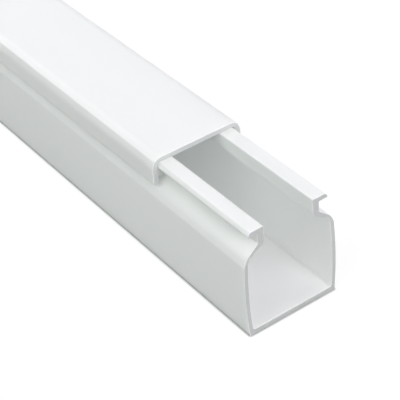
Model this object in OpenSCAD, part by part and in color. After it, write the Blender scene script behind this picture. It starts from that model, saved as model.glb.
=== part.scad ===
// Mini cable trunking: an extruded base channel with hooked rails, and a lid that clips over them.
// Sizes in millimetres. X runs along the length, Y across, Z up from the flat back of the base.

/* [Length] */
// Length that the base and the lid are sold in
length = 1000; // [500:100:3000]
// How far the lid is slid back from the open end of the base
lid_setback = 33.6; // [0:0.2:200]

/* [Section] */
// Width over the lid, and over the base at its shoulders
width = 25; // [22:0.5:60]
// Height from the back of the base to the top of the lid
height = 30; // [24:0.5:60]

/* [Base channel] */
// Thickness of the side walls
wall_t = 1.1; // [0.8:0.05:1.4]
// Thickness of the floor
floor_t = 1.4; // [1:0.05:2.2]
// How far each wall leans in from the shoulder down to the floor
wall_splay = 0.33; // [0:0.01:0.6]
// Bulge of the walls: how far each end of a wall turns from its straight line, in degrees
bow_angle = 4.2; // [1:0.1:6]
// Height of the shoulders, rails and lid together, from the top of the walls to the top of the lid
neck_h = 10.3; // [9.8:0.1:14]
// Height of the bevel between the top of each wall and the slope of the shoulder
bevel_h = 2.1; // [1.6:0.05:2.6]
// Lean of the bevels from the vertical, in degrees
bevel_angle = 21; // [15:1:26]
// Radius of the edge between each wall and its bevel
bevel_r = 1; // [0.5:0.1:2.5]
// Slope of the shoulders' outer face above the horizontal, in degrees
shoulder_angle = 40; // [34:1:43]
// Slope of the shoulders' inner face, which is flatter, so that they thicken towards the rails
shoulder_angle_in = 30; // [24:1:36]
// Thickness of the shoulders where they leave the bend
shoulder_t = 0.8; // [0.6:0.05:1.1]
// Outside radius of the bend from bevel to shoulder
shoulder_r = 3.8; // [2:0.1:4.2]
// How far the outer face of each rail stands in from the overall width
rail_inset = 4.05; // [3.8:0.05:4.6]
// Thickness of the upright rails
rail_t = 1.75; // [1.3:0.05:2]
// Radius of the upper inner edge of each rail
rail_r = 0.25; // [0.1:0.05:0.6]
// Thickness of the flange along the top of each rail
flange_t = 1.3; // [1.1:0.05:1.6]
// Lead-in radius on the outer edge of each flange
flange_r = 1; // [0.4:0.05:1.2]

/* [Lid] */
// Thickness of the lid and of its two lips
lid_t = 1.3; // [1.1:0.05:1.6]
// Outside radius of the lid's long edges
lid_r = 2.4; // [1.6:0.1:4]
// Depth of the lips below the top of the lid
lip_h = 7.05; // [6.6:0.05:7.3]
// Thickness of the hook inside each lip, where it leaves the lip
hook_t = 2.1; // [1.4:0.05:2.3]
// How far the underside of each hook rises towards its tip
hook_rise = 0.3; // [0:0.05:0.6]

/* [Fit] */
// Clearance wherever the lid seats on the base
fit_gap = 0.15; // [0.1:0.05:0.3]
// Space between the outer edge of each flange and the lip beside it
flange_gap = 0.3; // [0.15:0.05:0.5]
// Space between the tip of each hook and the rail behind it
hook_gap = 0.7; // [0.4:0.05:1]

/* [Edges] */
// Radius of the small outer edges
edge_r = 0.3; // [0.1:0.05:0.4]
// Radius of the lower outer edge of each flange
nose_r = 0.1; // [0.05:0.05:0.2]
// Radius of the fillets in the corners of the floor and at the foot of the rails
fillet_r = 0.6; // [0.2:0.05:0.9]

/* [Hidden] */

// Largest distance between a true arc and its facets
facet_tol = 0.01;

// Flat left at the tips of the flanges and lips, between the roundings on either side
tip_flat = 0.1;

// Seat of the lid on the rails, worked down from the top
half_w = width / 2;
lid_under = height - lid_t;
rail_top = lid_under - fit_gap;
flange_under = rail_top - flange_t;
hook_top = flange_under - fit_gap;
hook_low = hook_top - hook_t;
lip_low = height - lip_h;

// Distances of the mating faces from the middle of the section
lip_in = half_w - lid_t;
flange_tip = lip_in - flange_gap;
rail_out = half_w - rail_inset;
rail_in = rail_out - rail_t;
hook_tip = rail_out + hook_gap;

// Radii that follow from the walls they lie in
lip_r = (lid_t - tip_flat) / 2;
lead_r = min(flange_r, flange_t - nose_r - tip_flat);
lid_inner_r = min(lead_r + fit_gap, lid_under - hook_top - edge_r);

// Bowed wall: one corner of large radius halfway up, with a straight stretch past the floor and its fillet
foot = [half_w - wall_splay, 0];
wall_top = [half_w, height - neck_h];
wall_lean = atan2(wall_top[0] - foot[0], wall_top[1] - foot[1]);
half_wall = norm(wall_top - foot) / 2 / cos(bow_angle);
lower_wall = upright(wall_lean + bow_angle);
upper_wall = upright(wall_lean - bow_angle);
bow_corner = foot + half_wall * lower_wall;
bow_r = (half_wall - floor_t - fillet_r) / tan(bow_angle);

// Shoulder: a bevel leaves the top of the wall, then bends into a slope that climbs to the outer face of the rail
slope = upright(shoulder_angle - 90);
bend = 90 - shoulder_angle - bevel_angle;
bend_reach = shoulder_r * tan(bend / 2);
shoulder_corner = wall_top + bevel_h / cos(bevel_angle) * upright(-bevel_angle);
rail_foot = meet(shoulder_corner, slope, [rail_out, 0], upright(0));

// The same corners on the inside of the wall and shoulder
slope_in = upright(shoulder_angle_in - 90);
bend_end_in = shoulder_corner + bend_reach * slope + shoulder_t * turned(slope);
foot_in = foot + wall_t * turned(lower_wall);
wall_top_in = wall_top + wall_t * turned(upper_wall);
bow_corner_in = meet(foot_in, lower_wall, wall_top_in, upper_wall);
shoulder_corner_in = meet(bow_corner_in, upper_wall, bend_end_in, slope_in);
rail_foot_in = meet(bend_end_in, slope_in, [rail_in, 0], upright(0));
floor_corner = meet(bow_corner_in, lower_wall, [0, floor_t], upright(90));

// Right half of each section, as pairs of a corner and its radius, outer face first
base_half = [
    [foot, edge_r],
    [bow_corner, bow_r],
    [wall_top, bevel_r],
    [shoulder_corner, shoulder_r],
    [rail_foot, fillet_r],
    [[rail_out, flange_under], edge_r],
    [[flange_tip, flange_under], nose_r],
    [[flange_tip, rail_top], lead_r],
    [[rail_in, rail_top], rail_r],
    [rail_foot_in, fillet_r + rail_t],
    [shoulder_corner_in, shoulder_r - wall_t],
    [bow_corner_in, bow_r - wall_t],
    [floor_corner, fillet_r],
];
lid_half = [
    [[half_w, height], lid_r],
    [[half_w, lip_low], lip_r],
    [[lip_in, lip_low], lip_r],
    [[lip_in, hook_low], edge_r],
    [[hook_tip, hook_low + hook_rise], edge_r],
    [[hook_tip, hook_top], edge_r],
    [[lip_in, hook_top], edge_r],
    [[lip_in, lid_under], lid_inner_r],
];

// Unit vector that leans outwards from the vertical by an angle
function upright(lean) = [sin(lean), cos(lean)];

function unit(v) = v / norm(v);

// A vector turned a quarter turn to its left
function turned(v) = [-v[1], v[0]];

// Where the line through p along u meets the line through q along v
function meet(p, u, q, v) = p + u * cross(q - p, v) / cross(u, v);

// Points of the arc of radius r that rounds a corner between the points before and after it
function corner_arc(before, corner, after, r) =
    let (
        back = unit(before - corner),
        ahead = unit(after - corner),
        half_angle = acos(back * ahead) / 2,
        centre = corner + r / sin(half_angle) * unit(back + ahead),
        start = corner + r / tan(half_angle) * back - centre,
        sweep = sign(cross(back, ahead)) * (180 - 2 * half_angle),
        steps = ceil(abs(sweep) / (2 * acos(1 - facet_tol / r)))
    )
    [for (i = [0:steps]) centre + r * upright(atan2(start[0], start[1]) + sweep * i / steps)];

// A whole rounded section from its right half
function section(half) =
    let (
        left = [for (i = [len(half) - 1:-1:0]) [[-half[i][0][0], half[i][0][1]], half[i][1]]],
        corners = concat(half, left),
        n = len(corners),
        point = function(i) corners[(i + n) % n][0]
    )
    [for (i = [0:n - 1]) each corner_arc(point(i - 1), point(i), point(i + 1), corners[i][1])];

// Straight length of a section, with its near end at x
module profile(half, x) {
    translate([x - length, 0, 0])
        rotate([90, 0, 90])
            linear_extrude(height = length)
                polygon(section(half));
}

module base_channel() {
    color("whitesmoke")
        profile(base_half, length / 2);
}

module lid() {
    color("white")
        profile(lid_half, length / 2 - lid_setback);
}

base_channel();
lid();
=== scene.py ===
"""Looks of a length of white PVC mini trunking: a base channel and the lid that slides along its rails."""

import math

import bmesh
import bpy
import numpy as np
from mathutils import Matrix, Vector


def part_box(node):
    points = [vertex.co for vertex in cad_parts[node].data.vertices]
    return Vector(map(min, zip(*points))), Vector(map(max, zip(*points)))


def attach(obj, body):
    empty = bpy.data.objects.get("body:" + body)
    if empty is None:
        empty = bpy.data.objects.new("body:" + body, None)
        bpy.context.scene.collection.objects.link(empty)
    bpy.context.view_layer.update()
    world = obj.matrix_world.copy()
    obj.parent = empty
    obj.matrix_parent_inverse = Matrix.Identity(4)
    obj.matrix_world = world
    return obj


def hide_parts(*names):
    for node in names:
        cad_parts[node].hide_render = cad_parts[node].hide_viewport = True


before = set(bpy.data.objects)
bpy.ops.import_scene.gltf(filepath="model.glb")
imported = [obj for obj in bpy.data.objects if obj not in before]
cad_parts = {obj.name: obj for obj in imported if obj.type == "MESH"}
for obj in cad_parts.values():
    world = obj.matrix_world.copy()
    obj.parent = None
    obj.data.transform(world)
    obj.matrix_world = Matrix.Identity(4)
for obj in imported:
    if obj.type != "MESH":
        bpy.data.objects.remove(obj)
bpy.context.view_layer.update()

MM = 0.001

# Extruded pieces: grid on which points of a section count as one, rounding of the sawn edges in a few
# steps, distance between the rings of points along the length, and corners of a face between two rings
SAME_POINT = 0.0001 * MM
CUT_EDGE_R = 0.08 * MM
CUT_EDGE_STEPS = 3
RING_PITCH = 25 * MM
SIDE_CORNERS = 4

# Crisp long edges: how far the rounding of the solid reaches, and the corners that the edge is cut to
# instead, as (inset from the side, depth below the top, radius)
LID_EDGE_REACH = 2.4 * MM
LID_EDGE = np.array([(2.0, 0, 3.5), (0.75, 0.78, 0.4), (0, 2.4, 4.0)]) * MM
FLANGE_EDGE_REACH = 1.0 * MM
FLANGE_EDGE = np.array([(0.6, 0, 0.2), (0, 0.85, 0.15)]) * MM
ARC_STEP = math.radians(6)

# Share of the reach by which a point may lie inside the arc of the rounding and still count as on it
ARC_SLACK = 0.1

# Camera, measured from the middle of the lower edge of the open end
CAMERA_FROM_END = Vector((191.396, -142.981, 215.834)) * MM
CAMERA_AZIMUTH = 57.671
CAMERA_ELEVATION = 37.311
CAMERA_ROLL = -5.673
FOCAL_PIXELS = 1418.532
IMAGE_PIXELS = 400
SENSOR_WIDTH = 36
CLIP_START = 0.01

# Light: colours, radiance of the surroundings as light and as backdrop, and soft lamps, each as
# (azimuth it comes from, elevation, spread, strength, colour)
WHITE = (1.0, 1.0, 1.0)
GREENISH = (0.92, 1.0, 0.93)
PINKISH = (0.985, 0.945, 1.0)
BLUISH = (0.93, 0.95, 1.0)
WORLD_LIGHT = 0.01
BACKDROP_LIGHT = 1.0
LIGHT_BOUNCES = 32
LAMPS = {
    "left_lamp": (0, 42, 55, 1.16, GREENISH),
    "open_end_lamp": (90, 45, 50, 1.38, PINKISH),
    "low_end_lamp": (90, 20, 40, 1.05, WHITE),
    "far_end_lamp": (270, 45, 50, 0.76, BLUISH),
    "low_far_lamp": (270, 8, 14, 0.8, BLUISH),
    "back_lamp": (180, 15, 40, 1.0, WHITE),
}

# Floor: its lift towards white fades within the contact reach of what stands on it, which paints a contact
# shadow along the object's foot
FLOOR_SIZE = 12.0
FLOOR_GAP = 0.05 * MM
FLOOR_COLOUR = (0.45, 0.45, 0.45)
FLOOR_LIFT = 0.62
CONTACT_REACH = 0.6 * MM
CONTACT_POWER = 3.0

# White PVC, extruded or sawn
PVC_IOR = 1.53
PVC_SCATTER = 0.8 * MM
RELIEF_HEIGHT = 0.05 * MM

# Usual span of a noise texture's values, and its plain settings
NOISE_SPAN = (0.3, 0.7)
NOISE_DETAIL = 2.0
NOISE_ROUGHNESS = 0.5

# Extruded faces, with the scale of each pattern along x, y and z
PVC_COLOUR = (0.93, 0.945, 0.937)
PVC_SHADE = (0.92, 0.935, 0.927)
PVC_ROUGHNESS = (0.33, 0.43)
PVC_RELIEF = 0.06
CLOUD_SCALE = (9, 90, 90)
PEEL_SCALE = (500, 900, 900)
DIE_LINE_SCALE = (1.2, 1400, 1400)
DIE_LINE_DETAIL = 3.0
DIE_LINE_ROUGHNESS = 0.6

# Sawn ends, with marks that run round the middle of the saw's blade, in colours that hold painted shade:
# both ends are darker than matt sawn PVC under these lamps, and the base's end darker than the lid's, for
# how each end is lit
BASE_CUT_COLOUR_WITH_PAINTED_SHADE = (0.585, 0.6, 0.595)
BASE_CUT_DARKER_TONE_WITH_PAINTED_SHADE = (0.555, 0.57, 0.565)
LID_CUT_COLOUR_WITH_PAINTED_SHADE = (0.635, 0.65, 0.645)
LID_CUT_DARKER_TONE_WITH_PAINTED_SHADE = (0.605, 0.62, 0.615)
CUT_ROUGHNESS = (0.5, 0.6)
CUT_RELIEF = 0.25
BLADE_CENTRE = Vector((0, -95, 70)) * MM
SAW_MARKS = {"Scale": 120, "Distortion": 3.0, "Detail": 2.0, "Detail Scale": 4.0}
GRAIN_SCALE = (2500, 2500, 2500)
GRAIN_DETAIL = 3.0


def direction(azimuth, elevation):
    """Unit vector that points from the object towards a place at this azimuth and elevation."""
    around = math.radians(azimuth)
    rise = math.radians(elevation)
    return Vector((math.sin(around) * math.cos(rise), -math.cos(around) * math.cos(rise), math.sin(rise)))


def unit(vectors):
    """Rows of an array, each scaled to length 1."""
    return vectors / np.linalg.norm(vectors, axis=1, keepdims=True)


def opaque(colour):
    """Colour with the fourth value that a colour socket takes."""
    return (*colour, 1)


def section_of(node):
    """Outline of an extruded node as (y, z) points, with its outside on the left of the way round."""
    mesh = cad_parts[node].data
    near_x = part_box(node)[1].x
    spots = [tuple(round(c / SAME_POINT) for c in v.co[1:]) for v in mesh.vertices]
    at_end = [near_x - v.co.x < SAME_POINT for v in mesh.vertices]
    following = {}
    for face in mesh.polygons:
        corners = list(face.vertices)
        if all(at_end[i] for i in corners):
            continue
        for a, b in zip(corners, corners[1:] + corners[:1]):
            if at_end[a] and at_end[b]:
                following[spots[a]] = spots[b]
    spot = min(following)
    outline = []
    while spot in following:
        outline.append(spot)
        spot = following.pop(spot)
    return np.array(outline) * SAME_POINT


def corner_arc(before, corner, after, radius):
    """Points of the arc that rounds a corner between the points before and after it."""
    back, ahead = unit(np.array([before - corner, after - corner]))
    inwards, along = unit(np.array([back + ahead, ahead - back]))
    turn = math.pi - math.acos(back @ ahead)
    centre = corner + radius / math.cos(turn / 2) * inwards
    angles = np.linspace(-turn / 2, turn / 2, math.ceil(turn / ARC_STEP) + 1)[:, None]
    return centre + radius * (np.sin(angles) * along - np.cos(angles) * inwards)


def recut(points, reach, edge):
    """The outline with the rounded edge on either side of its top recut to a crisp one."""
    top = points[:, 1].max()
    side = np.abs(points[points[:, 1] > top - reach - SAME_POINT, 0]).max()
    corner = np.array((side, top))
    stops = corner - edge[:, :2]
    stops = np.concatenate([stops[:1] - (reach, 0), stops, stops[-1:] - (0, reach)])
    path = np.concatenate([corner_arc(*stops[i:i + 3], edge[i, 2]) for i in range(len(edge))])
    for hand in (1, -1):
        inset, depth = (corner - points * (hand, 1)).T
        near_corner = np.maximum(inset, depth) < reach + SAME_POINT
        on_arc = np.hypot(reach - inset, reach - depth) > (1 - ARC_SLACK) * reach
        rounded = near_corner & on_arc
        start = np.flatnonzero(rounded & ~np.roll(rounded, 1))[0]
        rest = np.roll(points, -start, axis=0)[rounded.sum():]
        points = np.concatenate([(path * (hand, 1))[::hand], rest])
    return points


def outward_normals(points):
    """Normals at the points of an outline: the mean of the edges beside each, longer ones counting more."""
    edges = np.roll(points, -1, axis=0) - points
    lengths = np.linalg.norm(edges, axis=1, keepdims=True)
    lefts = np.stack([-edges[:, 1], edges[:, 0]], axis=1) * lengths
    return unit(lefts + np.roll(lefts, 1, axis=0))


def rounder(points, normals):
    """The outline with one more point on each edge, halfway along the arc that its end normals show."""
    next_points = np.roll(points, -1, axis=0)
    next_normals = np.roll(normals, -1, axis=0)
    turn = np.arcsin(normals[:, 1] * next_normals[:, 0] - normals[:, 0] * next_normals[:, 1])
    chord = np.linalg.norm(next_points - points, axis=1)
    bulge = chord / 2 * np.tan(turn / 4)
    middle_normals = unit(normals + next_normals)
    middle = (points + next_points) / 2 + bulge[:, None] * middle_normals
    both = np.stack([points, middle], axis=1).reshape(-1, 2)
    both_normals = np.stack([normals, middle_normals], axis=1).reshape(-1, 2)
    return both, both_normals


def rings_along(far_x, near_x):
    """Rings from one sawn end to the other, as (x, inset from the outline, lean of the normals to x)."""
    turns = [math.pi / 2 * i / CUT_EDGE_STEPS for i in range(CUT_EDGE_STEPS + 1)]
    edge = [(CUT_EDGE_R * (1 - math.sin(t)), CUT_EDGE_R * (1 - math.cos(t)), t) for t in turns]
    far = [(far_x + depth, inset, -t) for depth, inset, t in reversed(edge)]
    near = [(near_x - depth, inset, t) for depth, inset, t in edge]
    first, last = far[-1][0], near[0][0]
    spans = round((last - first) / RING_PITCH)
    middle = [(first + (last - first) * i / spans, 0, 0) for i in range(1, spans)]
    return far + middle + near


def faces_between(rings, count):
    """Faces that join a number of rings of points, each to the next, and close both ends."""
    last = (rings - 1) * count
    faces = []
    for ring in range(0, last, count):
        for i in range(count):
            j = (i + 1) % count
            faces.append((ring + i, ring + count + i, ring + count + j, ring + j))
    return faces + [tuple(range(count)), tuple(range(last + count - 1, last - 1, -1))]


def split_ends(mesh):
    """Gives the two sawn ends the second material, and splits them into triangles."""
    shape = bmesh.new()
    shape.from_mesh(mesh)
    ends = [face for face in shape.faces if len(face.verts) > SIDE_CORNERS]
    for face in ends:
        face.material_index = 1
    bmesh.ops.triangulate(shape, faces=ends, ngon_method="EAR_CLIP")
    shape.to_mesh(mesh)
    shape.free()


def extrusion(name, node, reach, edge):
    """Mesh object along a node's section, with crisp long edges and eased sawn ones."""
    outline = recut(section_of(node), reach, edge)
    points, normals = rounder(outline, outward_normals(outline))
    count = len(points)
    low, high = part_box(node)
    rings = rings_along(low.x, high.x)
    places, facings = [], []
    for x, inset, lean in rings:
        places.append(np.column_stack([np.full(count, x), points - inset * normals]))
        facings.append(np.column_stack([np.full(count, math.sin(lean)), math.cos(lean) * normals]))
    mesh = bpy.data.meshes.new(name)
    mesh.from_pydata(np.concatenate(places), [], faces_between(len(rings), count))
    split_ends(mesh)
    mesh.shade_smooth()
    mesh.normals_split_custom_set_from_vertices(np.concatenate(facings))
    piece = bpy.data.objects.new(name, mesh)
    bpy.context.scene.collection.objects.link(piece)
    return piece


class Nodes:
    """Short way to add and join the nodes of a material or the world."""

    def __init__(self, owner):
        owner.use_nodes = True
        self.tree = owner.node_tree
        self.tree.nodes.clear()

    def add(self, kind, values=None, **settings):
        """A node with these settings, and each socket joined to another or set to a value."""
        node = self.tree.nodes.new(kind)
        for key, value in settings.items():
            setattr(node, key, value)
        for socket, value in (values or {}).items():
            if isinstance(value, bpy.types.NodeSocket):
                self.tree.links.new(value, node.inputs[socket])
            else:
                node.inputs[socket].default_value = value
        return node

    def combine(self, operation, first, second):
        """Result of a sum, product or the like of two values."""
        return self.add("ShaderNodeMath", {0: first, 1: second}, operation=operation).outputs[0]

    def place(self, scale, shift=(0, 0, 0)):
        """The object's own coordinates, moved and then scaled."""
        own = self.add("ShaderNodeTexCoord").outputs["Object"]
        moved = self.add("ShaderNodeVectorMath", {0: own, 1: shift}, operation="ADD").outputs[0]
        return self.add("ShaderNodeVectorMath", {0: moved, 1: scale}, operation="MULTIPLY").outputs[0]

    def noise(self, scale, detail=NOISE_DETAIL, roughness=NOISE_ROUGHNESS):
        """Noise over the object's own coordinates, stretched by this scale."""
        values = {"Vector": self.place(scale), "Scale": 1.0, "Detail": detail, "Roughness": roughness}
        return self.add("ShaderNodeTexNoise", values).outputs["Fac"]

    def spread(self, value, low, high):
        """A texture's value mapped from a noise's usual span to the span from low to high."""
        span = {"From Min": NOISE_SPAN[0], "From Max": NOISE_SPAN[1], "To Min": low, "To Max": high}
        return self.add("ShaderNodeMapRange", {"Value": value, **span}).outputs["Result"]

    def blend(self, value, first, second):
        """Colour that goes from the first to the second with a texture's value."""
        mix = self.add("ShaderNodeMix", {"Factor": self.spread(value, 0, 1)}, data_type="RGBA")
        mix.inputs["A"].default_value = opaque(first)
        mix.inputs["B"].default_value = opaque(second)
        return mix.outputs["Result"]

    def seen_directly(self):
        """1 for rays that show a surface to the camera, also by reflection, and 0 for light's own rays."""
        path = self.add("ShaderNodeLightPath").outputs
        straight_or_mirrored = self.combine("MAXIMUM", path["Is Camera Ray"], path["Is Glossy Ray"])
        return self.combine("MAXIMUM", straight_or_mirrored, path["Is Transmission Ray"])

    def finish(self, kind, shader):
        """The output node, joined to the shader that shows."""
        self.add(kind, {"Surface": shader})


def pvc_surface(nodes, colour, roughness, relief, strength):
    """Ends a material as PVC, which lets light in a little way, with a fine relief."""
    bump = nodes.add("ShaderNodeBump", {"Height": relief, "Strength": strength, "Distance": RELIEF_HEIGHT})
    surface = nodes.add("ShaderNodeBsdfPrincipled", {
        "Base Color": colour,
        "Roughness": roughness,
        "IOR": PVC_IOR,
        "Subsurface Weight": 1.0,
        "Subsurface Radius": (1, 1, 1),
        "Subsurface Scale": PVC_SCATTER,
        "Normal": bump.outputs["Normal"],
    })
    nodes.finish("ShaderNodeOutputMaterial", surface.outputs["BSDF"])


def pvc_material():
    """Extruded PVC: satin white, with faint lines from the die along the length."""
    material = bpy.data.materials.new("white_pvc_extruded")
    nodes = Nodes(material)
    die_lines = nodes.noise(DIE_LINE_SCALE, DIE_LINE_DETAIL, DIE_LINE_ROUGHNESS)
    colour = nodes.blend(nodes.noise(CLOUD_SCALE), PVC_SHADE, PVC_COLOUR)
    roughness = nodes.spread(die_lines, *PVC_ROUGHNESS)
    relief = nodes.combine("ADD", die_lines, nodes.noise(PEEL_SCALE))
    pvc_surface(nodes, colour, roughness, relief, PVC_RELIEF)
    return material


def sawn_material(name, colour, shade):
    """Sawn PVC: matt, with the curved marks of the blade, in given colours that here carry painted shade.
    """
    material = bpy.data.materials.new(name)
    nodes = Nodes(material)
    centred = nodes.place((1, 1, 1), shift=-BLADE_CENTRE)
    rings = nodes.add(
        "ShaderNodeTexWave", {"Vector": centred, **SAW_MARKS}, wave_type="RINGS", rings_direction="X"
    )
    marks = rings.outputs["Fac"]
    grain = nodes.noise(GRAIN_SCALE, GRAIN_DETAIL)
    roughness = nodes.spread(marks, *CUT_ROUGHNESS)
    pvc_surface(nodes, nodes.blend(grain, shade, colour), roughness, marks, CUT_RELIEF)
    return material


def floor_material():
    """Matt pale floor, lifted to white where it is seen, with a painted contact shadow close by what stands
    on it.
    """
    material = bpy.data.materials.new("pale_floor")
    nodes = Nodes(material)
    matt = nodes.add("ShaderNodeBsdfDiffuse", {"Color": opaque(FLOOR_COLOUR)})
    # Occlusion takes the lift away next to the object, which paints a dark contact shadow there
    openness = nodes.add("ShaderNodeAmbientOcclusion", {"Distance": CONTACT_REACH}).outputs["AO"]
    fade = nodes.combine("POWER", openness, CONTACT_POWER)
    lift = nodes.combine("MULTIPLY", nodes.seen_directly(), FLOOR_LIFT)
    glow = nodes.add("ShaderNodeEmission", {"Strength": nodes.combine("MULTIPLY", lift, fade)})
    both = nodes.add("ShaderNodeAddShader", {0: matt.outputs[0], 1: glow.outputs[0]})
    nodes.finish("ShaderNodeOutputMaterial", both.outputs[0])
    return material


def make_floor():
    """Flat floor just below the object."""
    half = FLOOR_SIZE / 2
    corners = [(x * half, y * half, -FLOOR_GAP) for x, y in ((-1, -1), (1, -1), (1, 1), (-1, 1))]
    mesh = bpy.data.meshes.new("floor")
    mesh.from_pydata(corners, [], [(0, 1, 2, 3)])
    mesh.materials.append(floor_material())
    floor = bpy.data.objects.new("floor", mesh)
    bpy.context.scene.collection.objects.link(floor)


def make_world():
    """Faint even light from all round, and plain white where the surroundings are seen."""
    world = bpy.data.worlds.new("studio")
    bpy.context.scene.world = world
    nodes = Nodes(world)
    even = nodes.add("ShaderNodeBackground", {"Color": opaque(WHITE), "Strength": WORLD_LIGHT})
    backdrop = nodes.add("ShaderNodeBackground", {"Color": opaque(WHITE), "Strength": BACKDROP_LIGHT})
    choice = {0: nodes.seen_directly(), 1: even.outputs[0], 2: backdrop.outputs[0]}
    mixed = nodes.add("ShaderNodeMixShader", choice)
    nodes.finish("ShaderNodeOutputWorld", mixed.outputs[0])


def make_lamp(name, azimuth, elevation, spread, strength, colour):
    """Lamp far away whose light comes from a wide disc of sky."""
    lamp = bpy.data.lights.new(name, "SUN")
    lamp.angle = math.radians(spread)
    lamp.energy = strength
    lamp.color = colour
    holder = bpy.data.objects.new(name, lamp)
    holder.rotation_euler = direction(azimuth, elevation).to_track_quat("Z", "Y").to_euler()
    holder.location = direction(azimuth, elevation)
    bpy.context.scene.collection.objects.link(holder)


def make_camera():
    """Camera at the photograph's place, turned about its own axis by the roll."""
    back = direction(CAMERA_AZIMUTH, CAMERA_ELEVATION)
    right = direction(CAMERA_AZIMUTH + 90, 0)
    up = back.cross(right)
    level = Matrix((right, up, back)).transposed()
    roll = Matrix.Rotation(math.radians(CAMERA_ROLL), 3, "Z")
    view = bpy.data.cameras.new("camera")
    view.sensor_width = SENSOR_WIDTH
    view.lens = SENSOR_WIDTH * FOCAL_PIXELS / IMAGE_PIXELS
    view.clip_start = CLIP_START
    camera = bpy.data.objects.new("camera", view)
    base_low, base_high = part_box("base_channel")
    open_end = Vector((base_high.x, (base_low.y + base_high.y) / 2, base_low.z))
    camera.matrix_world = Matrix.Translation(open_end + CAMERA_FROM_END) @ (level @ roll).to_4x4()
    bpy.context.scene.collection.objects.link(camera)
    bpy.context.scene.camera = camera


make_camera()

base = extrusion("base_extrusion", "base_channel", FLANGE_EDGE_REACH, FLANGE_EDGE)
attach(base, "base")
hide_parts("base_channel")

lid = extrusion("lid_extrusion", "lid", LID_EDGE_REACH, LID_EDGE)
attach(lid, "cover")
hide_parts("lid")

extruded = pvc_material()
# One sawn PVC in two tones with painted shade, the base's end darker than the lid's for how each end is lit
base_cut_painted_shade = sawn_material("base_cut_painted_shade", BASE_CUT_COLOUR_WITH_PAINTED_SHADE, BASE_CUT_DARKER_TONE_WITH_PAINTED_SHADE)
lid_cut_painted_shade = sawn_material("lid_cut_painted_shade", LID_CUT_COLOUR_WITH_PAINTED_SHADE, LID_CUT_DARKER_TONE_WITH_PAINTED_SHADE)
for piece, cut in ((base, base_cut_painted_shade), (lid, lid_cut_painted_shade)):
    piece.data.materials.append(extruded)
    piece.data.materials.append(cut)

make_floor()
make_world()
for name, values in LAMPS.items():
    make_lamp(name, *values)
bpy.context.scene.view_settings.view_transform = "Standard"
bpy.context.scene.cycles.max_bounces = LIGHT_BOUNCES
bpy.context.scene.cycles.diffuse_bounces = LIGHT_BOUNCES
